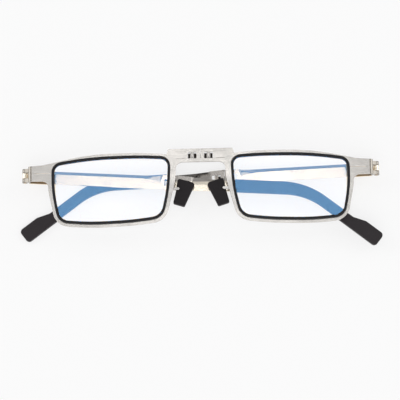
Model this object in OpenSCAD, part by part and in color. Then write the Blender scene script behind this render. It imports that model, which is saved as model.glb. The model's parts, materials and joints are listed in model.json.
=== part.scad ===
// Folding reading glasses of flat sheet metal, lying on their back with the temples closed.
// The fronts face up (+Z), the top of the glasses is +Y, and left and right are as seen from the front.
// The left temple is closed first, next to the lenses. The right temple is closed over it, underneath.

/* [Lens rings] */
// Distance between the two black lens rings
ring_gap = 23.6; // [22:0.1:26]
// Width of a black lens ring at its widest
ring_w = 46.3; // [44:0.1:50]
// Height of a black lens ring at its tallest
ring_h = 27.5; // [26.5:0.1:32]
// Height of the ring's top edge above the bridge's centre line
ring_rise = 0.35; // [0:0.05:1.5]
// Corner radius of the ring's upper inner corner
ring_top_r = 3.9; // [3:0.1:4.5]
// Corner radius of the ring's upper outer corner
ring_outer_r = 4.1; // [3:0.1:5]
// Corner radius of the ring's lower corners
ring_low_r = 5.2; // [4:0.1:6]
// Drop of the ring's upper outer corner below its top
ring_droop = 2.65; // [2.2:0.05:3]
// Drop of the ring's upper inner corner below its top
ring_dip = 0.8; // [0.4:0.05:1]
// Rise of the lower inner corner above the ring's lowest edge
ring_low_in = 2.15; // [1.6:0.05:2.8]
// Rise of the lower outer corner above the ring's lowest edge
ring_low_out = 1.2; // [0.8:0.05:1.7]
// Inset of the lower inner corner from the ring's inner side
ring_taper_in = 3.15; // [2.5:0.05:3.8]
// Inset of the lower outer corner from the ring's outer side
ring_taper_out = 2.6; // [2:0.1:3.2]
// Length of the lower edge's slope at either end
ring_slope = 15.2; // [14.6:0.1:16.5]
// Drop at which the ring's sides start to curve inwards
ring_waist = 13.5; // [12.5:0.1:14.5]
// Visible width of the black ring
ring_face = 1.05; // [0.9:0.05:1.5]
// How far the black ring stands in front of the metal
ring_proud = 0.7; // [0.3:0.1:1.2]
// How far the black ring reaches behind the metal
ring_back = 0.7; // [0.5:0.1:1]
// How far the metal's edge sits inside the ring's groove
metal_grip = 0.35; // [0.2:0.05:0.4]
// How far the lens edge sits inside the ring's groove
lens_grip = 0.35; // [0.2:0.05:0.4]
// Thickness of a lens
lens_t = 1.5; // [1:0.1:1.8]

/* [Metal front] */
// Thickness of the sheet metal
sheet = 0.8; // [0.6:0.05:1]
// Width of the metal rim around the ring
rim_w = 1.15; // [0.9:0.05:1.5]
// Width of the metal between ring and nose
nose_flank = 2.1; // [1.6:0.1:2.4]
// Height of the bridge plate
bridge_h = 5.4; // [5:0.1:6.5]
// Distance from the centre line to the bridge plate's stepped end
bridge_half = 12.6; // [12:0.1:13.4]
// Slant of the bridge plate's stepped end
end_slant = 0.6; // [0:0.1:1.5]
// Radius of the corners above the nose
nose_r = 2.6; // [1.5:0.1:3.5]
// Height of an endpiece
end_h = 6; // [5.6:0.1:7]
// Distance of an endpiece's centre line below the bridge's centre line
end_drop = 6.05; // [5:0.1:7]
// Length of an endpiece, from the ring to the outside of its bend
end_reach = 9.1; // [8.5:0.1:12]
// Outer radius of an endpiece's bend
end_bend_r = 1.1; // [0.9:0.1:1.4]
// Width of the slit that lets the rim open for the lens
slit_w = 0.15; // [0.1:0.05:0.5]
// Solid metal between the slit's end and the bend
slit_stop = 1.3; // [1.2:0.1:3]

/* [Clip hinges] */
// Gap in the butt seam of a clip hinge
seam = 0.12; // [0.08:0.02:0.3]
// Distance from the seam to a hinge bar's centre
bar_reach = 3.2; // [3:0.1:4]
// Radius of a hinge bar
bar_r = 0.36; // [0.3:0.02:0.36]
// Height of the windows that the clips reach through
window_h = 2.6; // [2.2:0.1:3]
// Window length to each side of a hinge bar
window_reach = 1.7; // [1.6:0.1:2]
// Wall of a clip's round hook
hook_wall = 0.32; // [0.3:0.05:0.5]
// Thickness of a clip's back plate
clip_t = 0.5; // [0.4:0.05:0.8]
// How far the back plate of a clip that doesn't fold reaches past its bars
plate_over = 1.6; // [0.8:0.1:1.7]
// Running clearance of every hinge, as a difference of radii
run_gap = 0.05; // [0.03:0.01:0.08]
// Free gap beside moving faces
side_gap = 0.3; // [0.2:0.05:0.35]

/* [Temple hinges] */
// Depth of the temple hinge's axis behind the metal's face
hinge_depth = 3.6; // [3.2:0.1:5]
// Outer radius of a temple hinge's barrels
barrel_r = 1.1; // [0.95:0.05:1.2]
// Gap between an endpiece's wall and the barrels
barrel_gap = 0.35; // [0.3:0.05:1]
// Length of the middle barrel
barrel_mid = 2; // [1.6:0.1:2.6]
// Axial gap between barrels
barrel_play = 0.15; // [0.1:0.05:0.3]
// Radius of a temple hinge's pin
pin_r = 0.5; // [0.4:0.02:0.6]
// How far the pin's heads stand out of the barrels
pin_head = 0.2; // [0.1:0.05:0.6]

/* [Temples] */
// Distance from a temple hinge to the temple's folding seam
fold_at = 59.4; // [56:0.2:62]
// Length along a temple's centre line, from its hinge to its end
temple_len = 144.2; // [142:0.5:152]
// Height of a temple beside its hinge
temple_h = 5.2; // [4.8:0.1:6]
// Height of a temple at its folding seam
fold_h = 6; // [5.6:0.1:6.6]
// Length over which a temple widens towards its folding seam
fold_taper = 10; // [8:0.5:12]
// Depth of a temple's face behind the hinge axis
temple_set = 0.8; // [0.7:0.05:1.05]
// Width of the bent lip along a temple's top edge
lip_w = 1.3; // [0.8:0.1:1.6]
// Slant of the bent lip
lip_slant = 28; // [15:1:35]
// Length of flat sheet between the folding seam and a lip's flared end
flat_run = 5.4; // [5.2:0.1:7]
// Width of a lip's flared end beside the fold
flare_w = 2.8; // [1.6:0.1:3]
// Slant of a lip's flared end
flare_slant = 13; // [8:1:20]
// Slope of the left temple, down from its hinge
left_droop = 4; // [2.5:0.1:4.5]
// Slope of the right temple, down from its hinge
right_droop = 1.65; // [0.5:0.1:2]
// How far the left temple stands open
left_swing = -0.2; // [-0.3:0.05:0]
// How far the right temple stands open
right_swing = 1.8; // [1.8:0.1:3]

/* [Temple tips] */
// Distance from a temple hinge to the start of its black sleeve
sleeve_at = 82; // [78:0.5:90]
// Thickness of a sleeve
sleeve_t = 1.8; // [1.6:0.05:2]
// Height of a sleeve before the bend
sleeve_h = 5; // [4.6:0.1:5.4]
// Height of a sleeve's neck after the bend
neck_h = 4.1; // [3.6:0.1:4.6]
// Extra height of the paddle at a sleeve's end, on its upper side
paddle_step = 1.8; // [1:0.1:2.4]
// Length of the paddle
paddle_len = 8.6; // [6:0.1:12]
// Corner radius of the paddle
paddle_r = 1.5; // [1:0.1:1.9]
// Distance from a temple hinge to the start of the bend
bend_at = 101.5; // [97:0.5:106]
// Radius of the bend along the centre line
bend_r = 27; // [22:1:34]
// Angle of the bend
bend_deg = 35; // [28:0.5:40]
// Height of the metal core inside a sleeve
core_h = 2.6; // [2:0.1:3.2]
// Length of rubber beyond the metal core
core_stop = 6; // [4:0.5:12]

/* [Nose pads] */
// Distance from the metal's face to a nose pad's front
pad_depth = 1.9; // [1.6:0.1:2.1]
// Thickness of a nose pad
pad_t = 1.9; // [1.5:0.1:2]
// Distance from the centre line to a pad's upper inner corner
pad_in = 2.5; // [2.4:0.1:3.5]
// Width of a nose pad's top edge
pad_top_w = 6.4; // [5.5:0.1:6.6]
// Width of a nose pad's lower edge
pad_low_w = 4.4; // [3.6:0.1:5]
// Distance of a pad's top edge below the bridge's centre line
pad_top = 8.9; // [8:0.1:9.2]
// Height of a nose pad
pad_h = 11.1; // [10:0.2:13]
// Outward slant of a nose pad, over its whole height
pad_slant = 4.1; // [3:0.1:4.6]
// Height of the silver tab that carries a pad
tab_h = 1.1; // [0.8:0.1:1.6]
// Distance of the tab below the bridge's centre line
tab_drop = 13.1; // [12:0.1:14]
// Length of tab that shows inside the nose gap
tab_reach = 1.3; // [0.8:0.1:1.8]
// Thickness of the tab
tab_t = 0.6; // [0.4:0.05:0.8]

/* [Hidden] */
$fn = 48;

// Degrees between the points of an arc
arc_step = 7.5;
// Clearance between pieces that are assembled and don't move
seat = 0.02;
// Depth of the fine grooves in the sheet
groove_d = 0.25;
// Width of the fine grooves
groove_w = 0.3;
// Distance of a temple's groove below its centre line, and the groove's length
groove_rise = 1.4;
groove_run = 8.4;
// Overlap that joins the parts of one solid
bite = 0.05;

silver = [0.80, 0.77, 0.73];
black = [0.06, 0.06, 0.07];
lens_blue = [0.72, 0.82, 0.96, 0.35];

function xy(p) = [p.x, p.y];
function unit(v) = v / norm(v);
function right_of(v) = [v.y, -v.x];
function turned(v, a) = [v.x * cos(a) - v.y * sin(a), v.x * sin(a) + v.y * cos(a)];

// A clockwise outline of [x, y, radius] corners, moved inwards by w.
function shifted(path, w) = let (n = len(path)) [
  for (i = [0 : n - 1])
    let (
      p = path[i],
      a = right_of(unit(xy(p) - xy(path[(i + n - 1) % n]))),
      b = right_of(unit(xy(path[(i + 1) % n]) - xy(p))),
      m = (a + b) / (1 + a * b)
    )
    [p.x + w * m.x, p.y + w * m.y, p[2] - w]
];

// The outline's points, with each corner turned into an arc of its own radius.
function rounded(path) = let (n = len(path)) [
  for (i = [0 : n - 1])
    let (
      p = path[i],
      a = unit(xy(p) - xy(path[(i + n - 1) % n])),
      b = unit(xy(path[(i + 1) % n]) - xy(p)),
      turn = atan2(a.x * b.y - a.y * b.x, a * b),
      start = xy(p) - a * p[2] * tan(abs(turn) / 2),
      hub = start - right_of(a) * p[2] * sign(turn),
      steps = p[2] > 0 ? max(4, ceil(abs(turn) / arc_step)) : 0
    )
    for (k = [0 : steps])
      steps == 0 ? xy(p) : hub + turned(start - hub, turn * k / steps)
];

// The black ring's outline on the right side.
ring_in = ring_gap / 2;
ring_out = ring_in + ring_w;
ring_top = ring_rise;
ring_low = ring_rise - ring_h;
end_y = -end_drop;
ring_path = [
  [ring_in - 0.1, ring_top - ring_dip, ring_top_r],
  [ring_in + 0.226 * ring_w, ring_top, 128],
  [ring_in + 0.67 * ring_w, ring_top - 0.07 * ring_droop, 133],
  [ring_out - 0.1, ring_top - ring_droop, ring_outer_r],
  [ring_out, ring_top - ring_waist - 0.25, 57],
  [ring_out - ring_taper_out, ring_low + ring_low_out, ring_low_r],
  [ring_out - ring_slope, ring_low, 103],
  [ring_in + 0.93 * ring_slope, ring_low + 0.31 * ring_low_in, 108],
  [ring_in + ring_taper_in, ring_low + ring_low_in, ring_low_r + 0.6],
  [ring_in + 0.06 * ring_taper_in, ring_top - ring_waist + 0.4, 65]
];
rim_path = shifted(ring_path, -rim_w);
hole_path = shifted(ring_path, metal_grip);
ring_inner = shifted(ring_path, ring_face);
lens_path = shifted(ring_path, ring_face - lens_grip);

// The metal front's outline on the right side, from the seam round the ring and back.
end_x = ring_out + end_reach;
nose_x = ring_in - nose_flank;
front_path = [
  [seam / 2, bridge_h / 2, 0],
  [bridge_half, bridge_h / 2, 0.4],
  [bridge_half + end_slant, rim_path[0].y, 0.4],
  rim_path[1],
  [rim_path[2].x, rim_path[2].y, 90],
  [ring_out + 3, end_y + end_h / 2 + 0.35, 12],
  [end_x - end_bend_r, end_y + end_h / 2, 0],
  [end_x - end_bend_r, end_y - end_h / 2, 0],
  [ring_out + 1.45, end_y - end_h / 2, 2.5],
  [rim_path[4].x, min(rim_path[4].y, end_y - end_h / 2 - 4.2), 16],
  rim_path[5],
  rim_path[6],
  rim_path[7],
  [rim_path[8].x - 0.1, rim_path[8].y, ring_low_r + 1.5],
  [nose_x + 0.1, ring_top - ring_waist + 3.65, 25],
  [nose_x - 0.2, -bridge_h / 2, nose_r],
  [seam / 2, -bridge_h / 2, 0]
];

// Where the temple hinge lies.
hinge_x = end_x + barrel_gap + barrel_r;
lug_len = (end_h - barrel_mid) / 2 - barrel_play - 0.3;
lug_y = barrel_mid / 2 + barrel_play + lug_len / 2;
hinge_half = lug_y + lug_len / 2;
wall_depth = hinge_depth - barrel_r + 0.5;

// The temple's centre line: straight, then a bend down, then straight again.
bend_len = bend_r * bend_deg * PI / 180;
function bend_angle(l) = max(0, min(l - bend_at, bend_len)) / bend_r * 180 / PI;
function centre(l) =
  let (a = bend_angle(l), rest = max(0, l - bend_at - bend_len))
  [min(l, bend_at) + bend_r * sin(a) + rest * cos(a), -bend_r * (1 - cos(a)) - rest * sin(a)];
function beside(l, off) = centre(l) + off * [sin(bend_angle(l)), cos(bend_angle(l))];

// A closed band along the centre line between a lower and an upper edge, with round end corners.
function band(stops, low, high, r) = let (n = len(stops)) [
  for (i = [0 : n - 1])
    let (p = beside(stops[i], lookup(stops[i], high)))
    [p.x, p.y, i == n - 1 ? r : 0],
  for (i = [n - 1 : -1 : 0])
    let (p = beside(stops[i], lookup(stops[i], low)))
    [p.x, p.y, i == n - 1 ? r : 0]
];
bend_stops = [for (k = [0 : 12]) bend_at + bend_len * k / 12];
paddle_at = temple_len - paddle_len;
flare = 5;
sleeve_stops = concat([sleeve_at, sleeve_at + 8], bend_stops, [paddle_at - flare, paddle_at, temple_len]);
sleeve_high = [
  [sleeve_at, sleeve_h / 2],
  [bend_at, sleeve_h / 2],
  [bend_at + bend_len, neck_h / 2],
  [paddle_at - flare, neck_h / 2 + 0.1],
  [paddle_at, neck_h / 2 + paddle_step],
  [temple_len, neck_h / 2 + paddle_step]
];
sleeve_low = [[sleeve_at, -sleeve_h / 2], [bend_at, -sleeve_h / 2], [bend_at + bend_len, -neck_h / 2]];
sleeve_path = band(sleeve_stops, sleeve_low, sleeve_high, paddle_r);
core_stops = concat([sleeve_at - 1], bend_stops, [temple_len - core_stop]);

root_at = barrel_r + 0.5;
front_half_path = [
  [root_at, temple_h / 2, 0.3],
  [fold_at - fold_taper, temple_h / 2 + 0.1, 20],
  [fold_at - seam / 2, fold_h / 2 + 0.3, 0],
  [fold_at - seam / 2, -fold_h / 2 + 0.3, 0],
  [root_at, -temple_h / 2, 0.3]
];
rear_half_path = [
  [fold_at + seam / 2, fold_h / 2 + 0.3, 0],
  [fold_at + fold_taper, temple_h / 2 + 0.1, 20],
  [sleeve_at + 3, sleeve_h / 2 - 0.5, 0],
  [sleeve_at + 3, -sleeve_h / 2 + 0.5, 0],
  [fold_at + seam / 2, -fold_h / 2 + 0.3, 0]
];

// A lip along a temple: distance from the fold, width of the lip, and its fall for each mm of width.
top_of = fold_h / 2 + 0.4;
full_fall = tan(lip_slant);
flare_fall = tan(flare_slant);
function lip_stops(to, sleeve_side) = [
  [0, flare_w, 0],
  [flat_run, flare_w, 0],
  [flat_run + 1.2, flare_w, flare_fall],
  [flat_run + (sleeve_side ? 7.5 : 3), flare_w - (sleeve_side ? 0.3 : 0.9), (flare_fall + full_fall) / 2],
  [flat_run + (sleeve_side ? 14 : 8), lip_w, full_fall],
  [to, lip_w, full_fall]
];

// A point given along, up and out of a closed temple, in the frame of the fronts. The side is -1 or 1.
function placed(p, side, droop, swing) =
  let (
    x = p.x * cos(droop) + p.y * sin(droop),
    y = -p.x * sin(droop) + p.y * cos(droop)
  )
  [
    side * (hinge_x - x * cos(swing) - p.z * sin(swing)),
    end_y + y,
    -hinge_depth - x * sin(swing) + p.z * cos(swing)
  ];

// The lowest, leftmost and rightmost points give the origin: under the middle of the glasses, on the table.
sleeve_w = -temple_set - sheet / 2;
tip_points = rounded(sleeve_path);
function tip(side, droop, swing) = [
  for (p = tip_points)
    for (w = [-1, 1])
      placed([p.x, p.y, sleeve_w + w * sleeve_t / 2], side, droop, swing)
];
left_tip = tip(-1, left_droop, left_swing);
right_tip = tip(1, right_droop, right_swing);
outer_x = hinge_x + barrel_r;
low_x = min(-outer_x, min([for (p = right_tip) p.x]));
high_x = max(outer_x, max([for (p = left_tip) p.x]));
low_y = min(ring_low - rim_w, min([for (p = left_tip) p.y]), min([for (p = right_tip) p.y]));
high_y = max(bridge_h / 2, ring_top + rim_w);
low_z = min([for (p = right_tip) p.z]);
origin = [-(low_x + high_x) / 2, -(low_y + high_y) / 2, -low_z];

module on_table() {
  translate(origin) children();
}

module side_of(side) {
  mirror([side > 0 ? 0 : 1, 0, 0]) children();
}

// A closed temple's own frame: X along it, Y up its face, Z out of its face, the hinge axis at X = Z = 0.
module at_temple(side, droop, swing) {
  mirror([side > 0 ? 1 : 0, 0, 0])
    translate([-hinge_x, end_y, -hinge_depth])
      rotate([0, swing, 0])
        rotate([0, 0, -droop])
          children();
}

module slab(points, high, thick) {
  translate([0, 0, high - thick]) linear_extrude(thick) polygon(points);
}

// The windows beside one hinge bar, and the bar itself. The seam is at X = 0, the sheet's face at Z = 0.
module clip_window() {
  translate([bar_reach - window_reach, -window_h / 2, -2 * sheet])
    cube([2 * window_reach, window_h, 3 * sheet]);
}

module clip_bar() {
  translate([bar_reach, window_h / 2 + 0.3, -sheet / 2])
    rotate([90, 0, 0])
      cylinder(r = bar_r, h = window_h + 0.6);
}

// The clip behind a seam: a back plate with a hook round each hinge bar, open to the front.
// The plate reaches past the bars where the clip doesn't fold.
hook_len = window_h - 2 * side_gap;
hook_bore = bar_r + run_gap;
hook_r = hook_bore + hook_wall;

module clip_hook() {
  translate([bar_reach, 0, -sheet / 2])
    rotate([90, 0, 0])
      difference() {
        cylinder(r = hook_r, h = hook_len, center = true);
        cylinder(r = hook_bore, h = hook_len + 1, center = true);
        translate([0, 0.7 * hook_bore + hook_r, 0])
          cube([4 * hook_r, 2 * hook_r, hook_len + 1], center = true);
      }
}

module clip(over) {
  plate = bar_reach + over;
  color(silver) {
    difference() {
      translate([-plate, -hook_len / 2, -sheet - side_gap - clip_t])
        cube([2 * plate, hook_len, clip_t]);
      for (s = [-1, 1])
        translate([s * bar_reach, 0, -sheet / 2])
          rotate([90, 0, 0])
            cylinder(r = hook_bore + bite, h = hook_len + 1, center = true);
    }
    for (s = [0, 1]) mirror([s, 0, 0]) clip_hook();
  }
}

// The bent end of an endpiece: the sheet turns back and carries two barrels.
module end_bend() {
  inner_r = end_bend_r - sheet;
  bend = rounded([
    [end_x - end_bend_r - bite, 0, 0],
    [end_x, 0, end_bend_r],
    [end_x, -wall_depth, 0],
    [end_x - sheet, -wall_depth, 0],
    [end_x - sheet, -sheet, inner_r],
    [end_x - end_bend_r - bite, -sheet, 0]
  ]);
  translate([0, end_y + end_h / 2, 0])
    rotate([90, 0, 0])
      linear_extrude(end_h)
        polygon(bend);
}

module lug(y) {
  translate([0, y + lug_len / 2, 0])
    rotate([90, 0, 0]) {
      linear_extrude(lug_len)
        polygon([
          [end_x - sheet, -wall_depth + 0.9],
          [end_x - bite, -wall_depth + 0.9],
          [hinge_x, -hinge_depth + barrel_r],
          [hinge_x, -hinge_depth],
          [end_x - sheet, -wall_depth]
        ]);
      translate([hinge_x, -hinge_depth, 0]) cylinder(r = barrel_r, h = lug_len);
    }
}

module pin_bore(r) {
  translate([hinge_x, end_y, -hinge_depth])
    rotate([90, 0, 0])
      cylinder(r = r, h = 3 * end_h, center = true);
}

module front(side) {
  color(silver)
    on_table()
      side_of(side)
        difference() {
          union() {
            difference() {
              slab(rounded(front_path), 0, sheet);
              slab(rounded(hole_path), sheet, 3 * sheet);
              clip_window();
            }
            clip_bar();
            end_bend();
            for (s = [-1, 1]) lug(end_y + s * lug_y);
          }
          pin_bore(pin_r);
          translate([ring_out - 1, end_y - slit_w / 2, -2 * sheet])
            cube([end_reach - end_bend_r - slit_stop + 1, slit_w, 3 * sheet]);
          translate([bar_reach + window_reach, bridge_h / 2 - 1.3, -groove_d])
            cube([bridge_half - bar_reach - window_reach - 3, groove_w, sheet]);
          translate([bar_reach + window_reach + 1.2, -bridge_h / 2 + 1.3, -groove_d])
            cube([bridge_half - bar_reach - window_reach - 4.4, groove_w, sheet]);
        }
}

module ring(side) {
  color(black)
    on_table()
      side_of(side)
        difference() {
          slab(rounded(ring_path), ring_proud, ring_proud + sheet + ring_back);
          slab(rounded(ring_inner), ring_proud + 1, ring_proud + sheet + ring_back + 2);
          difference() {
            slab(rounded(shifted(ring_path, -1)), seat, sheet + 2 * seat);
            slab(rounded(shifted(hole_path, seat)), sheet, 3 * sheet);
          }
          slab(rounded(shifted(lens_path, -seat)), (lens_t - sheet) / 2 + seat, lens_t + 2 * seat);
        }
}

module lens(side) {
  color(lens_blue)
    on_table()
      side_of(side)
        slab(rounded(lens_path), (lens_t - sheet) / 2, lens_t);
}

module bridge_clip() {
  on_table() clip(plate_over);
}

// The nose pad's outline on the right side, clockwise.
pad_low = -pad_top - pad_h;
pad_path = [
  [pad_in, -pad_top - 2.4, 0.5],
  [pad_in + 0.6, -pad_top - 1.6, 0.6],
  [pad_in + pad_top_w, -pad_top + 0.2, 0.8],
  [pad_in + pad_top_w + 1, -pad_top - pad_h / 2, 20],
  [pad_in + pad_slant + pad_low_w, pad_low + 1.4, 0.6],
  [pad_in + pad_slant, pad_low, 0.6]
];

// The silver tab lies on the back of the rim and reaches a stem back into the pad.
stem_x = nose_x - tab_reach + 0.55;
stem_r = 0.45;
stem_end = pad_depth + pad_t * 0.6;

module pad_arm(side) {
  color(silver)
    on_table()
      side_of(side) {
        slab(rounded([
          [nose_x - tab_reach, -tab_drop + tab_h / 2, tab_h / 2 - 0.05],
          [nose_x + 2, -tab_drop + tab_h / 2, 0],
          [nose_x + 2, -tab_drop - tab_h / 2, 0],
          [nose_x - tab_reach, -tab_drop - tab_h / 2, tab_h / 2 - 0.05]
        ]), -sheet, tab_t);
        translate([stem_x, -tab_drop, -stem_end]) cylinder(r = stem_r, h = stem_end - sheet - tab_t / 2);
      }
}

module nose_pad(side) {
  color(black)
    on_table()
      side_of(side)
        difference() {
          slab(rounded(pad_path), -pad_depth, pad_t);
          translate([stem_x, -tab_drop, -stem_end - seat]) cylinder(r = stem_r + seat, h = pad_t + 1);
        }
}

module hinge_pin(side) {
  color(silver)
    on_table()
      side_of(side)
        translate([hinge_x, end_y, -hinge_depth])
          rotate([90, 0, 0])
            cylinder(r = pin_r, h = 2 * (hinge_half + pin_head), center = true);
}

// Sheet with a bent lip along its top, cut to an outline. It runs along X from the fold, towards s.
module lipped_sheet(path, stops, s) {
  n = len(stops);
  points = [
    for (i = [0 : n - 1])
      let (
        stop = stops[s > 0 ? i : n - 1 - i],
        bend = temple_h / 2 - stop[1],
        back = (top_of - bend) * stop[2]
      )
      for (v = [
        [-top_of, 0], [bend, 0], [top_of, -back],
        [top_of, -back - sheet], [bend, -sheet], [-top_of, -sheet]
      ])
        [fold_at + s * stop[0], v[0], v[1]]
  ];
  faces = concat(
    [[1, 0, 5, 4, 3, 2], [for (k = [1, 2, 3, 4, 5, 0]) 6 * n - 6 + k]],
    [
      for (i = [0 : 6 : 6 * n - 12], k = [0, 2, 4, 5])
        [i + k, i + (k + 1) % 6, i + 6 + (k + 1) % 6, i + 6 + k]
    ],
    [
      for (i = [0 : 6 : 6 * n - 12], v = [[1, 2, 8], [1, 8, 7], [3, 4, 9], [4, 10, 9]])
        [i + v[0], i + v[1], i + v[2]]
    ]
  );
  translate([0, 0, -temple_set])
    intersection() {
      polyhedron(points, faces);
      slab(rounded(path), 2 * temple_h, 4 * temple_h);
    }
}

// The fine groove beside a temple's window.
module temple_groove() {
  translate([bar_reach + window_reach, -groove_rise - groove_w / 2, -groove_d])
    cube([groove_run, groove_w, sheet]);
}

module temple_front(side, droop, swing) {
  color(silver)
    on_table() {
      difference() {
        union() {
          at_temple(side, droop, swing)
            difference() {
              lipped_sheet(front_half_path, lip_stops(fold_at - root_at + 1, false), -1);
              translate([fold_at, 0, -temple_set])
                mirror([1, 0, 0]) {
                  clip_window();
                  temple_groove();
                }
            }
          at_temple(side, droop, swing)
            translate([fold_at, 0, -temple_set])
              mirror([1, 0, 0])
                clip_bar();
          at_temple(side, 0, swing) {
            translate([0, -barrel_mid / 2, -temple_set - sheet + bite])
              cube([root_at + 1.5, barrel_mid, sheet - 2 * bite]);
            rotate([90, 0, 0]) cylinder(r = barrel_r, h = barrel_mid, center = true);
          }
        }
        at_temple(side, 0, swing)
          rotate([90, 0, 0])
            cylinder(r = pin_r + run_gap, h = end_h, center = true);
      }
    }
}

module temple_clip(side, droop, swing, over) {
  on_table()
    at_temple(side, droop, swing)
      translate([fold_at, 0, -temple_set])
        clip(over);
}

// The metal core that runs inside the sleeve, a little larger for the sleeve's pocket.
module core(extra) {
  translate([0, 0, -temple_set])
    slab(rounded(band(
      core_stops, [[0, -core_h / 2 - extra]], [[0, core_h / 2 + extra]], 0.5
    )), extra, sheet + 2 * extra);
}

module temple_rear(side, droop, swing) {
  color(silver)
    on_table()
      at_temple(side, droop, swing) {
        difference() {
          lipped_sheet(rear_half_path, lip_stops(sleeve_at - fold_at, true), 1);
          translate([fold_at, 0, -temple_set]) {
            clip_window();
            temple_groove();
          }
        }
        translate([fold_at, 0, -temple_set]) clip_bar();
        core(0);
      }
}

module sleeve(side, droop, swing) {
  color(black)
    on_table()
      at_temple(side, droop, swing)
        difference() {
          slab(rounded(sleeve_path), -temple_set - sheet / 2 + sleeve_t / 2, sleeve_t);
          core(seat);
        }
}

// Joint axes, the resting face and the origin, for the part's record.
fold_axis = placed([0, -1, 0], 1, right_droop, right_swing) - placed([0, 0, 0], 1, right_droop, right_swing);
bar_w = -temple_set - sheet / 2;
echo(origin = origin, box = [high_x - low_x, high_y - low_y, ring_proud - low_z]);
echo(left_hinge = origin + [-hinge_x, end_y, -hinge_depth]);
echo(right_hinge = origin + [hinge_x, end_y, -hinge_depth]);
echo(inner_bar = origin + placed([fold_at - bar_reach, 0, bar_w], 1, right_droop, right_swing));
echo(outer_bar = origin + placed([fold_at + bar_reach, 0, bar_w], 1, right_droop, right_swing));
echo(fold_axis = fold_axis);
rest_at = (sleeve_at + bend_at) / 2;
rest_point = placed([rest_at, 0, sleeve_w - sleeve_t / 2], 1, right_droop, right_swing);
below_it = placed([rest_at, 0, sleeve_w - sleeve_t / 2 - 1], 1, right_droop, right_swing);
echo(rest_face = origin + rest_point, rest_normal = below_it - rest_point);

front(-1);  // left_front
front(1);  // right_front
ring(-1);  // left_ring
ring(1);  // right_ring
lens(-1);  // left_lens
lens(1);  // right_lens
bridge_clip();
pad_arm(-1);  // left_pad_arm
pad_arm(1);  // right_pad_arm
nose_pad(-1);  // left_nose_pad
nose_pad(1);  // right_nose_pad
hinge_pin(-1);  // left_hinge_pin
hinge_pin(1);  // right_hinge_pin
temple_front(-1, left_droop, left_swing);  // left_temple_front
temple_clip(-1, left_droop, left_swing, plate_over);  // left_temple_clip
temple_rear(-1, left_droop, left_swing);  // left_temple_rear
sleeve(-1, left_droop, left_swing);  // left_sleeve
temple_front(1, right_droop, right_swing);  // right_temple_front
temple_clip(1, right_droop, right_swing, 0);  // right_temple_clip
temple_rear(1, right_droop, right_swing);  // right_temple_rear
sleeve(1, right_droop, right_swing);  // right_sleeve
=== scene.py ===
import json
import math

import bpy
from mathutils import Euler, Matrix, Vector


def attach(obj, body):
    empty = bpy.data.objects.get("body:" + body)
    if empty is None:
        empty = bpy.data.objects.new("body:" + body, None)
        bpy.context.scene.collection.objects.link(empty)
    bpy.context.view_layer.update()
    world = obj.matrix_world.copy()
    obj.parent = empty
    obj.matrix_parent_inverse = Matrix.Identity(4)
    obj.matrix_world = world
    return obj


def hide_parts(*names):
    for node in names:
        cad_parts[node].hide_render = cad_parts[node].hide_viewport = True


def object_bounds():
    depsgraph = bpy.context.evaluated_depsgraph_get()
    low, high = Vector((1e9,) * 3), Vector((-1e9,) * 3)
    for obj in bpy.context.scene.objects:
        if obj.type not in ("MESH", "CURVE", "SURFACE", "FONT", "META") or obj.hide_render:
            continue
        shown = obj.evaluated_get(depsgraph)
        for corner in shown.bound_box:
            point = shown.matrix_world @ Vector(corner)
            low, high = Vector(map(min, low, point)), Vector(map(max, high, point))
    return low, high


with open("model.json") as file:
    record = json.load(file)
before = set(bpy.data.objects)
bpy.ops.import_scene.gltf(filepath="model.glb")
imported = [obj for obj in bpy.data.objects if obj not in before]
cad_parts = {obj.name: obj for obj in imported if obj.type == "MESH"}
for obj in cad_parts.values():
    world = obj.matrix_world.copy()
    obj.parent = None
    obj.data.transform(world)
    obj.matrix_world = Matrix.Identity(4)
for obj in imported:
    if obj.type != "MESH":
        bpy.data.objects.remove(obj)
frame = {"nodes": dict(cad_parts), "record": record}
nodes = frame["nodes"]
cadLow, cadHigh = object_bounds()
mm = 0.001
bridgeCentre = Vector((0.44876, 16.9284, 10.0814)) * mm  # middle of the bridge, on the fronts' face
print("frame loaded:", len(nodes), "nodes")

# camera: above the fronts, leaning to their lower edge; distance in m, aim in mm past the bridge
cameraView = {"tilt": 16.0, "roll": 1.3, "distance": 0.700, "lens": 161.5, "aim": (-0.51, -18.13, 0.0)}


def addCamera(s):
    tilt, roll = math.radians(s["tilt"]), math.radians(s["roll"])
    place = bridgeCentre + s["distance"] * Vector((0, -math.sin(tilt), math.cos(tilt)))
    target = bridgeCentre + Vector(s["aim"]) * mm
    back = (place - target).normalized()
    right = Vector((0, 1, 0)).cross(back).normalized()
    up = back.cross(right)
    side = math.cos(roll) * right - math.sin(roll) * up
    top = math.sin(roll) * right + math.cos(roll) * up
    turn = Matrix((side, top, back)).transposed()
    bpy.ops.object.camera_add(location=place, rotation=turn.to_euler())
    camera = bpy.context.active_object
    camera.data.lens = s["lens"]
    camera.data.sensor_width = 36
    camera.data.clip_start = 0.01
    bpy.context.scene.camera = camera


addCamera(cameraView)
print("camera set")


# small helpers for node trees
def newMaterial(name):
    material = bpy.data.materials.new(name)
    material.use_nodes = True
    tree = material.node_tree
    shader = tree.nodes["Principled BSDF"]
    output = tree.nodes["Material Output"]
    return material, tree, shader, output


def addNode(tree, kind, **settings):
    node = tree.nodes.new(kind)
    for name, value in settings.items():
        setattr(node, name, value)
    return node


def addGroup(tree, group, values):
    node = tree.nodes.new("ShaderNodeGroup")
    node.node_tree = group
    for name, value in values.items():
        node.inputs[name].default_value = value
    return node


def objectPoints(tree, scale):
    coords = addNode(tree, "ShaderNodeTexCoord")
    mapping = addNode(tree, "ShaderNodeMapping")
    mapping.inputs["Scale"].default_value = scale
    tree.links.new(coords.outputs["Object"], mapping.inputs["Vector"])
    return mapping.outputs["Vector"]


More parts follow.
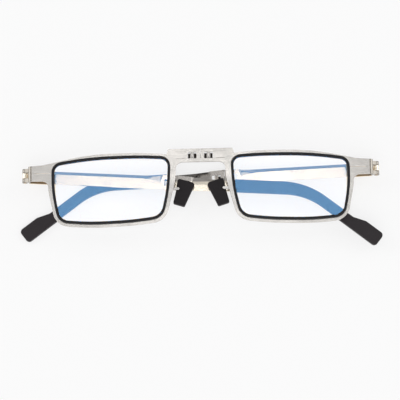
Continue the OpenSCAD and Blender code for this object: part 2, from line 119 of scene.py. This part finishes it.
streakScale = 0.22  # scale of the broad streaks against that of the fine grain


# fine drawn grain of satin sheet metal, with broad streaks for its tone
def makeSheetGrain():
    group = bpy.data.node_groups.new("sheetGrain", "ShaderNodeTree")
    face = group.interface
    face.new_socket(name="Vector", in_out="INPUT", socket_type="NodeSocketVector")
    face.new_socket(name="Scale", in_out="INPUT", socket_type="NodeSocketFloat")
    face.new_socket(name="Height", in_out="OUTPUT", socket_type="NodeSocketFloat")
    face.new_socket(name="Streak", in_out="OUTPUT", socket_type="NodeSocketFloat")
    start = group.nodes.new("NodeGroupInput")
    end = group.nodes.new("NodeGroupOutput")
    fine = addNode(group, "ShaderNodeTexNoise", noise_dimensions="3D")
    fine.inputs["Detail"].default_value = 3
    fine.inputs["Roughness"].default_value = 0.6
    broad = addNode(group, "ShaderNodeTexNoise", noise_dimensions="3D")
    broad.inputs["Detail"].default_value = 2
    smaller = addNode(group, "ShaderNodeMath", operation="MULTIPLY")
    smaller.inputs[1].default_value = streakScale
    link = group.links.new
    link(start.outputs["Vector"], fine.inputs["Vector"])
    link(start.outputs["Vector"], broad.inputs["Vector"])
    link(start.outputs["Scale"], fine.inputs["Scale"])
    link(start.outputs["Scale"], smaller.inputs[0])
    link(smaller.outputs[0], broad.inputs["Scale"])
    link(fine.outputs["Fac"], end.inputs["Height"])
    link(broad.outputs["Fac"], end.inputs["Streak"])
    return group


# soft uneven finish: faint cloudy patches, as of handling and moulding
def makeUnevenFinish():
    group = bpy.data.node_groups.new("unevenFinish", "ShaderNodeTree")
    face = group.interface
    face.new_socket(name="Scale", in_out="INPUT", socket_type="NodeSocketFloat")
    face.new_socket(name="Low", in_out="INPUT", socket_type="NodeSocketFloat")
    face.new_socket(name="High", in_out="INPUT", socket_type="NodeSocketFloat")
    face.new_socket(name="Value", in_out="OUTPUT", socket_type="NodeSocketFloat")
    face.new_socket(name="Mask", in_out="OUTPUT", socket_type="NodeSocketFloat")
    start = group.nodes.new("NodeGroupInput")
    end = group.nodes.new("NodeGroupOutput")
    coords = addNode(group, "ShaderNodeTexCoord")
    cloud = addNode(group, "ShaderNodeTexNoise", noise_dimensions="3D")
    cloud.inputs["Detail"].default_value = 4
    spread = addNode(group, "ShaderNodeMapRange")
    spread.inputs["From Min"].default_value = 0.3
    spread.inputs["From Max"].default_value = 0.7
    link = group.links.new
    link(coords.outputs["Object"], cloud.inputs["Vector"])
    link(start.outputs["Scale"], cloud.inputs["Scale"])
    link(cloud.outputs["Fac"], spread.inputs["Value"])
    link(start.outputs["Low"], spread.inputs["To Min"])
    link(start.outputs["High"], spread.inputs["To Max"])
    link(spread.outputs["Result"], end.inputs["Value"])
    link(cloud.outputs["Fac"], end.inputs["Mask"])
    return group


# fine stipple of moulded plastic and rubber
def makeMouldedGrain():
    group = bpy.data.node_groups.new("mouldedGrain", "ShaderNodeTree")
    face = group.interface
    face.new_socket(name="Scale", in_out="INPUT", socket_type="NodeSocketFloat")
    face.new_socket(name="Height", in_out="OUTPUT", socket_type="NodeSocketFloat")
    start = group.nodes.new("NodeGroupInput")
    end = group.nodes.new("NodeGroupOutput")
    coords = addNode(group, "ShaderNodeTexCoord")
    pits = addNode(group, "ShaderNodeTexVoronoi", feature="SMOOTH_F1")
    pits.inputs["Smoothness"].default_value = 0.6
    link = group.links.new
    link(coords.outputs["Object"], pits.inputs["Vector"])
    link(start.outputs["Scale"], pits.inputs["Scale"])
    link(pits.outputs["Distance"], end.inputs["Height"])
    return group


# painted shade deep in the windows, where little light reaches: 1 near the face, down to Low at the
# bottom
def makePaintedRecessShade():
    group = bpy.data.node_groups.new("recessShade", "ShaderNodeTree")
    face = group.interface
    for name in ("Face Height", "Floor Height", "Low"):
        face.new_socket(name=name, in_out="INPUT", socket_type="NodeSocketFloat")
    face.new_socket(name="Shade", in_out="OUTPUT", socket_type="NodeSocketFloat")
    start = group.nodes.new("NodeGroupInput")
    end = group.nodes.new("NodeGroupOutput")
    coords = addNode(group, "ShaderNodeTexCoord")
    parts = addNode(group, "ShaderNodeSeparateXYZ")
    spread = addNode(group, "ShaderNodeMapRange", interpolation_type="SMOOTHSTEP")
    spread.inputs["To Max"].default_value = 1
    link = group.links.new
    link(coords.outputs["Object"], parts.inputs["Vector"])
    link(parts.outputs["Z"], spread.inputs["Value"])
    link(start.outputs["Floor Height"], spread.inputs["From Min"])
    link(start.outputs["Face Height"], spread.inputs["From Max"])
    link(start.outputs["Low"], spread.inputs["To Min"])
    link(spread.outputs["Result"], end.inputs["Shade"])
    return group


# a soft-edged box, the same on the left and right of the bridge: 1 inside, 0 outside
def makeZoneMask():
    group = bpy.data.node_groups.new("zoneMask", "ShaderNodeTree")
    face = group.interface
    for name in ("Centre", "Half", "Soft"):
        face.new_socket(name=name, in_out="INPUT", socket_type="NodeSocketVector")
    face.new_socket(name="Mask", in_out="OUTPUT", socket_type="NodeSocketFloat")
    start = group.nodes.new("NodeGroupInput")
    end = group.nodes.new("NodeGroupOutput")
    coords = addNode(group, "ShaderNodeTexCoord")
    parts = addNode(group, "ShaderNodeSeparateXYZ")
    across = addNode(group, "ShaderNodeMath", operation="SUBTRACT")
    across.inputs[1].default_value = bridgeCentre.x
    mirrored = addNode(group, "ShaderNodeMath", operation="ABSOLUTE")
    place = addNode(group, "ShaderNodeCombineXYZ")
    offset = addNode(group, "ShaderNodeVectorMath", operation="SUBTRACT")
    away = addNode(group, "ShaderNodeVectorMath", operation="ABSOLUTE")
    past = addNode(group, "ShaderNodeVectorMath", operation="SUBTRACT")
    share = addNode(group, "ShaderNodeVectorMath", operation="DIVIDE")
    inside = addNode(group, "ShaderNodeVectorMath", operation="SUBTRACT")
    inside.inputs[0].default_value = (1, 1, 1)
    sides = addNode(group, "ShaderNodeSeparateXYZ")
    least = addNode(group, "ShaderNodeMath", operation="MINIMUM")
    mask = addNode(group, "ShaderNodeMath", operation="MINIMUM", use_clamp=True)
    link = group.links.new
    link(coords.outputs["Object"], parts.inputs["Vector"])
    link(parts.outputs["X"], across.inputs[0])
    link(across.outputs[0], mirrored.inputs[0])
    link(mirrored.outputs[0], place.inputs["X"])
    link(parts.outputs["Y"], place.inputs["Y"])
    link(parts.outputs["Z"], place.inputs["Z"])
    link(place.outputs["Vector"], offset.inputs[0])
    link(start.outputs["Centre"], offset.inputs[1])
    link(offset.outputs["Vector"], away.inputs[0])
    link(away.outputs["Vector"], past.inputs[0])
    link(start.outputs["Half"], past.inputs[1])
    link(past.outputs["Vector"], share.inputs[0])
    link(start.outputs["Soft"], share.inputs[1])
    link(share.outputs["Vector"], inside.inputs[1])
    link(inside.outputs["Vector"], sides.inputs["Vector"])
    link(sides.outputs["X"], least.inputs[0])
    link(sides.outputs["Y"], least.inputs[1])
    link(least.outputs[0], mask.inputs[0])
    link(sides.outputs["Z"], mask.inputs[1])
    link(mask.outputs[0], end.inputs["Mask"])
    return group


zoneMask = makeZoneMask()
sheetGrain = makeSheetGrain()
recessShade = makePaintedRecessShade()
unevenFinish = makeUnevenFinish()
mouldedGrain = makeMouldedGrain()

sheetPatchScale = 160
sheetGrainDepth = 0.02  # mm


# satin sheet metal, with its grain along the length of the piece
def makeSheetMetal(name, s):
    material, tree, shader, _ = newMaterial(name)
    link = tree.links.new
    points = objectPoints(tree, s["stretch"])
    grain = addGroup(tree, sheetGrain, {"Scale": s["grainScale"]})
    link(points, grain.inputs["Vector"])
    tone = addNode(tree, "ShaderNodeMix", data_type="RGBA")
    tone.inputs[6].default_value = (*s["colour"], 1)
    tone.inputs[7].default_value = (*s["colourLight"], 1)
    link(grain.outputs["Streak"], tone.inputs[0])
    colour = tone.outputs[2]
    # painted shade in the windows, darkest at their floor
    if "recess" in s:
        low, high, least = s["recess"]
        depths = {"Face Height": high * mm, "Floor Height": low * mm, "Low": least}
        shade = addGroup(tree, recessShade, depths)
        dark = addNode(tree, "ShaderNodeMix", data_type="RGBA")
        dark.inputs[6].default_value = (*s["grime"], 1)
        link(shade.outputs["Shade"], dark.inputs[0])
        link(colour, dark.inputs[7])
        colour = dark.outputs[2]
    # zones repaint the tone: painted shade, a painted highlight and a warmer tone
    for zone in s.get("zones", ()):
        box = {name: Vector(zone[name]) * mm for name in ("Centre", "Half", "Soft")}
        inside = addGroup(tree, zoneMask, box)
        repaint = addNode(tree, "ShaderNodeMix", data_type="RGBA")
        repaint.inputs[7].default_value = (*zone["tone"], 1)
        link(inside.outputs["Mask"], repaint.inputs[0])
        link(colour, repaint.inputs[6])
        colour = repaint.outputs[2]
    link(colour, shader.inputs["Base Color"])
    low, high = s["roughness"]
    patches = addGroup(tree, unevenFinish, {"Scale": sheetPatchScale, "Low": low, "High": high})
    link(patches.outputs["Value"], shader.inputs["Roughness"])
    bump = addNode(tree, "ShaderNodeBump")
    bump.inputs["Strength"].default_value = s["bump"]
    bump.inputs["Distance"].default_value = sheetGrainDepth * mm
    link(grain.outputs["Height"], bump.inputs["Height"])
    link(bump.outputs["Normal"], shader.inputs["Normal"])
    shader.inputs["Metallic"].default_value = 1
    return material


# zones of another tone, in mm, with x counted outwards from the bridge: a painted highlight
# along the slit, painted shade on the hinge ends and on the flanks beside the nose, a warmer tone
# by the hinges, and painted shade on the ends beside the folds
openSide = 50  # past every piece, where a zone has no edge
# painted highlight: a bright line along the endpiece slit
slitHighlightZone = {
    "Centre": (60.9, 10.88, 0), "Half": (3.3, 0.16, openSide), "Soft": (0.4, 0.12, 1),
    "tone": (0.97, 0.95, 0.92),
}
# painted shade on the hinge ends
hingeShadeZone = {
    "Centre": (72.0, 0, 0), "Half": (6.1, openSide, openSide), "Soft": (0.25, 1, 1),
    "tone": (0.40, 0.37, 0.33),
}
# painted shade on the flanks beside the nose
noseShadeZone = {
    "Centre": (11.0, 2.0, 0), "Half": (3.2, 2.5, openSide), "Soft": (2.0, 5.0, 1),
    "tone": (0.53, 0.515, 0.50),
}
warmZone = {
    "Centre": (62.5, 0, 0), "Half": (4.5, openSide, openSide), "Soft": (1.5, 1, 1),
    "tone": (0.99, 0.84, 0.64),
}
# painted shade on the temples' ends beside the folds, under the near temple and the bridge
foldShadeZone = {
    "Centre": (0, 17.2, 0), "Half": (11.4, 9.4, openSide), "Soft": (1.6, 0.8, 1),
    "tone": (0.38, 0.36, 0.34),
}

# recess: heights of a window's floor and of the face in mm, and the least painted shade on the floor
frontMetal = makeSheetMetal("champagneSilverSheet", {
    "colour": (0.63, 0.605, 0.575), "colourLight": (0.70, 0.675, 0.645), "stretch": (0.12, 1, 1),
    "grainScale": 9000, "roughness": (0.18, 0.24), "bump": 0.14,
    "zones": (slitHighlightZone, hingeShadeZone, noseShadeZone),
})
templeMetal = makeSheetMetal("warmTempleSheet", {
    "colour": (0.95, 0.87, 0.74), "colourLight": (0.99, 0.92, 0.80), "stretch": (0.1, 1, 1),
    "grainScale": 8000, "roughness": (0.19, 0.25), "bump": 0.12, "zones": (foldShadeZone, warmZone),
})
bridgeClipMetal = makeSheetMetal("bridgeClipSheet", {
    "colour": (0.60, 0.57, 0.54), "colourLight": (0.70, 0.67, 0.64), "stretch": (1, 0.2, 1),
    "grainScale": 9000, "roughness": (0.26, 0.34), "bump": 0.2,
    "recess": (9.1, 9.55, 0.0), "grime": (0.035, 0.030, 0.028),
})
leftClipMetal = makeSheetMetal("leftClipSheet", {
    "colour": (0.86, 0.79, 0.68), "colourLight": (0.92, 0.86, 0.76), "stretch": (1, 0.2, 1),
    "grainScale": 9000, "roughness": (0.20, 0.28), "bump": 0.15, "zones": (foldShadeZone,),
    "recess": (4.9, 5.3, 0.0), "grime": (0.60, 0.56, 0.50),
})
# the right clip, on the far temple under the near one, is painted darker than the left: painted shade
rightClipShadedMetal = makeSheetMetal("rightClipShadedSheet", {
    "colour": (0.58, 0.53, 0.48), "colourLight": (0.68, 0.63, 0.57), "stretch": (1, 0.2, 1),
    "grainScale": 9000, "roughness": (0.26, 0.34), "bump": 0.2,
    "recess": (2.9, 3.3, 0.0), "grime": (0.035, 0.030, 0.028),
})
pinMetal = makeSheetMetal("pinSteel", {
    "colour": (0.60, 0.49, 0.36), "colourLight": (0.68, 0.57, 0.43), "stretch": (1, 0.2, 1),
    "grainScale": 12000, "roughness": (0.16, 0.24), "bump": 0.1,
})

mouldedGrainDepth = 0.03  # mm


# moulded black: the lens rings, the nose pads and the sleeves
def makeMouldedBlack(name, s):
    material, tree, shader, _ = newMaterial(name)
    link = tree.links.new
    low, high = s["roughness"]
    patches = addGroup(tree, unevenFinish, {"Scale": s["patchScale"], "Low": low, "High": high})
    link(patches.outputs["Value"], shader.inputs["Roughness"])
    tone = addNode(tree, "ShaderNodeMix", data_type="RGBA")
    tone.inputs[6].default_value = (*s["colour"], 1)
    tone.inputs[7].default_value = (*s["colourLight"], 1)
    link(patches.outputs["Mask"], tone.inputs[0])
    link(tone.outputs[2], shader.inputs["Base Color"])
    stipple = addGroup(tree, mouldedGrain, {"Scale": s["grainScale"]})
    bump = addNode(tree, "ShaderNodeBump")
    bump.inputs["Strength"].default_value = s["bump"]
    bump.inputs["Distance"].default_value = mouldedGrainDepth * mm
    link(stipple.outputs["Height"], bump.inputs["Height"])
    link(bump.outputs["Normal"], shader.inputs["Normal"])
    shader.inputs["Specular IOR Level"].default_value = s["specular"]
    return material


ringBlack = makeMouldedBlack("satinRing", {
    "colour": (0.006, 0.006, 0.008), "colourLight": (0.012, 0.012, 0.015), "patchScale": 300,
    "roughness": (0.36, 0.46), "grainScale": 7000, "bump": 0.15, "specular": 0.34,
})
padBlack = makeMouldedBlack("siliconePad", {
    "colour": (0.010, 0.008, 0.009), "colourLight": (0.018, 0.015, 0.017), "patchScale": 240,
    "roughness": (0.54, 0.64), "grainScale": 5200, "bump": 0.3, "specular": 0.25,
})
sleeveBlack = makeMouldedBlack("rubberSleeve", {
    "colour": (0.016, 0.012, 0.014), "colourLight": (0.026, 0.021, 0.024), "patchScale": 180,
    "roughness": (0.50, 0.60), "grainScale": 4200, "bump": 0.35, "specular": 0.36,
})


# clear lens with a coating that reflects blue; shadow and soft rays pass, so that light falls through it
lensGlass = {
    "tint": (1.0, 0.89, 0.74, 1), "coating": (0.16, 0.46, 0.96, 1), "ior": 2.0,
    "passes": (0.985, 0.985, 0.99, 1),
}


def makeLensGlass(name, s):
    material, tree, shader, output = newMaterial(name)
    link = tree.links.new
    shader.inputs["Base Color"].default_value = s["tint"]
    shader.inputs["Transmission Weight"].default_value = 1
    shader.inputs["Metallic"].default_value = 0
    shader.inputs["IOR"].default_value = s["ior"]
    shader.inputs["Specular Tint"].default_value = s["coating"]
    shader.inputs["Roughness"].default_value = 0
    path = addNode(tree, "ShaderNodeLightPath")
    either = addNode(tree, "ShaderNodeMath", operation="MAXIMUM")
    anyOfThree = addNode(tree, "ShaderNodeMath", operation="MAXIMUM")
    softGlossy = addNode(tree, "ShaderNodeMath", operation="SUBTRACT", use_clamp=True)
    clear = addNode(tree, "ShaderNodeBsdfTransparent")
    clear.inputs["Color"].default_value = s["passes"]
    mix = addNode(tree, "ShaderNodeMixShader")
    link(path.outputs["Is Shadow Ray"], either.inputs[0])
    link(path.outputs["Is Diffuse Ray"], either.inputs[1])
    link(either.outputs[0], anyOfThree.inputs[0])
    link(path.outputs["Is Glossy Ray"], softGlossy.inputs[0])
    link(path.outputs["Is Singular Ray"], softGlossy.inputs[1])
    link(softGlossy.outputs[0], anyOfThree.inputs[1])
    link(anyOfThree.outputs[0], mix.inputs["Fac"])
    link(shader.outputs["BSDF"], mix.inputs[1])
    link(clear.outputs["BSDF"], mix.inputs[2])
    link(mix.outputs["Shader"], output.inputs["Surface"])
    return material


lensMaterial = makeLensGlass("blueCoatedLens", lensGlass)
print("materials made")


def selectOnly(piece):
    bpy.ops.object.select_all(action="DESELECT")
    piece.select_set(True)
    bpy.context.view_layer.objects.active = piece


# merge in mm, the angles in degrees: faces within "flat" are joined, edges past "bevel" are rounded,
# and edges within "smooth" are shaded smooth
meshRules = {"merge": 0.002, "flat": 0.6, "bevel": 32, "smooth": 40}


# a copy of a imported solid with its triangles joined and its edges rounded
def roundedCopy(nodeName, pieceName, s, material):
    mesh = nodes[nodeName].data.copy()
    piece = bpy.data.objects.new(pieceName, mesh)
    bpy.context.collection.objects.link(piece)
    selectOnly(piece)
    bpy.ops.object.mode_set(mode="EDIT")
    bpy.ops.mesh.select_all(action="SELECT")
    bpy.ops.mesh.remove_doubles(threshold=meshRules["merge"] * mm)
    bpy.ops.mesh.dissolve_limited(angle_limit=math.radians(meshRules["flat"]))
    bpy.ops.object.mode_set(mode="OBJECT")
    edge = piece.modifiers.new("roundEdges", "BEVEL")
    edge.width = s["edge"] * mm
    edge.segments = s["segments"]
    edge.limit_method = "ANGLE"
    edge.angle_limit = math.radians(meshRules["bevel"])
    edge.use_clamp_overlap = True
    bpy.ops.object.modifier_apply(modifier="roundEdges")
    bpy.ops.object.shade_smooth_by_angle(angle=math.radians(s.get("smooth", meshRules["smooth"])))
    flat = piece.modifiers.new("flatFaces", "WEIGHTED_NORMAL")
    flat.keep_sharp = True
    flat.weight = 100  # large faces alone set the shading
    bpy.ops.object.modifier_apply(modifier="flatFaces")
    mesh.materials.clear()
    mesh.materials.append(material)
    return piece


# one piece for each node: edge in mm, and two materials where left and right differ, the right one
# darker as painted shade
sidePieces = {
    "front": {"edge": 0.10, "segments": 2, "material": frontMetal, "slot": "sheet_metal"},
    "ring": {"edge": 0.28, "segments": 3, "material": ringBlack, "slot": "lens_ring"},
    "lens": {"edge": 0.10, "segments": 2, "material": lensMaterial, "slot": "lens"},
    "pad_arm": {"edge": 0.15, "segments": 2, "material": frontMetal, "slot": "sheet_metal"},
    "nose_pad": {"edge": 0.28, "segments": 3, "material": padBlack, "slot": "nose_pad"},
    "hinge_pin": {"edge": 0.08, "segments": 2, "material": pinMetal, "slot": "pin"},
    "temple_front": {
        "edge": 0.10, "segments": 2, "smooth": 20, "material": templeMetal, "slot": "sheet_metal",
    },
    "temple_clip": {
        "edge": 0.06, "segments": 2, "slot": "sheet_metal",
        "material": {"left": leftClipMetal, "right": rightClipShadedMetal},
    },
    "temple_rear": {
        "edge": 0.10, "segments": 2, "smooth": 20, "material": templeMetal, "slot": "sheet_metal",
    },
    "sleeve": {"edge": 0.40, "segments": 4, "material": sleeveBlack, "slot": "sleeve"},
}
bridgePiece = {"edge": 0.06, "segments": 2, "material": bridgeClipMetal, "slot": "sheet_metal"}
nodeBody = {node: body for body, held in frame["record"]["behaviour"]["bodies"].items() for node in held}


def dress(nodeName, s, material):
    first, *rest = nodeName.split("_")
    pieceName = first + "".join(word.capitalize() for word in rest)
    piece = roundedCopy(nodeName, pieceName, s, material)
    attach(piece, nodeBody[nodeName])
    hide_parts(nodeName)


for side in ("left", "right"):
    for part, s in sidePieces.items():
        material = s["material"][side] if part == "temple_clip" else s["material"]
        dress(side + "_" + part, s, material)
    print(side, "side dressed")
dress("bridge_clip", bridgePiece, bridgePiece["material"])
print("bridge dressed")


# floor: pale, with part of the shadow kept; size in m, the gap under the part in mm
floorLook = {"size": 6.0, "gap": 0.02, "colour": (0.98, 0.98, 0.985, 1), "whiteShare": 0.72}


def addFloor(s):
    bpy.ops.object.select_all(action="DESELECT")
    bpy.ops.mesh.primitive_plane_add(size=s["size"], location=(0, 0, cadLow.z - s["gap"] * mm))
    floor = bpy.context.active_object
    floor.name = "floor"
    material, tree, shader, output = newMaterial("paleFloor")
    link = tree.links.new
    shader.inputs["Base Color"].default_value = s["colour"]
    shader.inputs["Roughness"].default_value = 1
    shader.inputs["Specular IOR Level"].default_value = 0
    white = addNode(tree, "ShaderNodeEmission")
    white.inputs["Strength"].default_value = 1
    path = addNode(tree, "ShaderNodeLightPath")
    seen = addNode(tree, "ShaderNodeMath", operation="MAXIMUM")
    seenAll = addNode(tree, "ShaderNodeMath", operation="MAXIMUM")
    share = addNode(tree, "ShaderNodeMath", operation="MULTIPLY")
    share.inputs[1].default_value = s["whiteShare"]
    mix = addNode(tree, "ShaderNodeMixShader")
    link(path.outputs["Is Camera Ray"], seen.inputs[0])
    link(path.outputs["Is Transmission Ray"], seen.inputs[1])
    link(seen.outputs[0], seenAll.inputs[0])
    link(path.outputs["Is Glossy Ray"], seenAll.inputs[1])
    link(seenAll.outputs[0], share.inputs[0])
    link(share.outputs[0], mix.inputs["Fac"])
    link(shader.outputs["BSDF"], mix.inputs[1])
    link(white.outputs["Emission"], mix.inputs[2])
    link(mix.outputs["Shader"], output.inputs["Surface"])
    floor.data.materials.append(material)


addFloor(floorLook)

# lights: a long soft box that the fronts mirror, a wide one on the camera's side,
# and one to the left and right of the top edge; in m, W and degrees
softBoxes = {
    "strip": {"size": (0.60, 0.19), "power": 0.82, "tilt": 15.2, "side": 0, "distance": 3.0},
    "near": {"size": (1.5, 1.1), "power": 2.6, "tilt": -42.0, "side": 0, "distance": 1.5},
    "left": {"size": (1.1, 0.4), "power": 1.9, "tilt": 15.0, "side": -60.0, "distance": 1.2},
    "right": {"size": (1.1, 0.4), "power": 1.9, "tilt": 15.0, "side": 60.0, "distance": 1.2},
}
lampTarget = bridgeCentre + Vector((0, -10, 0)) * mm  # level with the lenses


def addSoftBox(name, s):
    turn = Euler((-math.radians(s["tilt"]), math.radians(s["side"]), 0))
    away = turn.to_matrix() @ Vector((0, 0, s["distance"]))
    bpy.ops.object.light_add(type="AREA", location=lampTarget + away, rotation=turn)
    lamp = bpy.context.active_object
    lamp.name = name
    lamp.data.shape = "RECTANGLE"
    lamp.data.size, lamp.data.size_y = s["size"]
    lamp.data.energy = s["power"]


for name, box in softBoxes.items():
    addSoftBox(name + "Box", box)

# world: a room with bands of light and shade from the top edge's side to overhead, slightly
# brighter walls left and right, and plain white to the camera
skyLook = {
    "lean": 25.0, "walls": 0.2,
    "stops": (
        (0.0, 0.12), (0.26, 0.32), (0.38, 0.90), (0.50, 0.55),
        (0.62, 0.60), (0.75, 0.40), (0.88, 0.90), (1.0, 1.25),
    ),
}


def addWorld(s):
    world = bpy.data.worlds.new("paleRoom")
    bpy.context.scene.world = world
    world.use_nodes = True
    tree = world.node_tree
    link = tree.links.new
    background = tree.nodes["Background"]
    coords = addNode(tree, "ShaderNodeTexCoord")
    lean = math.radians(s["lean"])
    rise = addNode(tree, "ShaderNodeVectorMath", operation="DOT_PRODUCT")
    rise.inputs[1].default_value = (0, -math.sin(lean), math.cos(lean))
    ramp = addNode(tree, "ShaderNodeValToRGB")
    stops = ramp.color_ramp.elements
    for k, (place, level) in enumerate(s["stops"]):
        stop = stops[k] if k < 2 else stops.new(place)
        stop.position = place
        stop.color = (level, level, level, 1)
    across = addNode(tree, "ShaderNodeSeparateXYZ")
    squared = addNode(tree, "ShaderNodeMath", operation="MULTIPLY")
    walls = addNode(tree, "ShaderNodeMath", operation="MULTIPLY")
    walls.inputs[1].default_value = s["walls"]
    both = addNode(tree, "ShaderNodeVectorMath", operation="ADD")
    link(coords.outputs["Generated"], across.inputs["Vector"])
    link(across.outputs["X"], squared.inputs[0])
    link(across.outputs["X"], squared.inputs[1])
    link(squared.outputs[0], walls.inputs[0])
    link(walls.outputs[0], both.inputs[0])
    link(ramp.outputs["Color"], both.inputs[1])
    path = addNode(tree, "ShaderNodeLightPath")
    pick = addNode(tree, "ShaderNodeMix", data_type="RGBA")
    pick.inputs[7].default_value = (1, 1, 1, 1)
    link(coords.outputs["Generated"], rise.inputs[0])
    link(rise.outputs["Value"], ramp.inputs["Fac"])
    link(path.outputs["Is Camera Ray"], pick.inputs[0])
    link(both.outputs["Vector"], pick.inputs[6])
    link(pick.outputs[2], background.inputs["Color"])


addWorld(skyLook)
bpy.context.scene.view_settings.view_transform = "Standard"
print("stage and lights set")
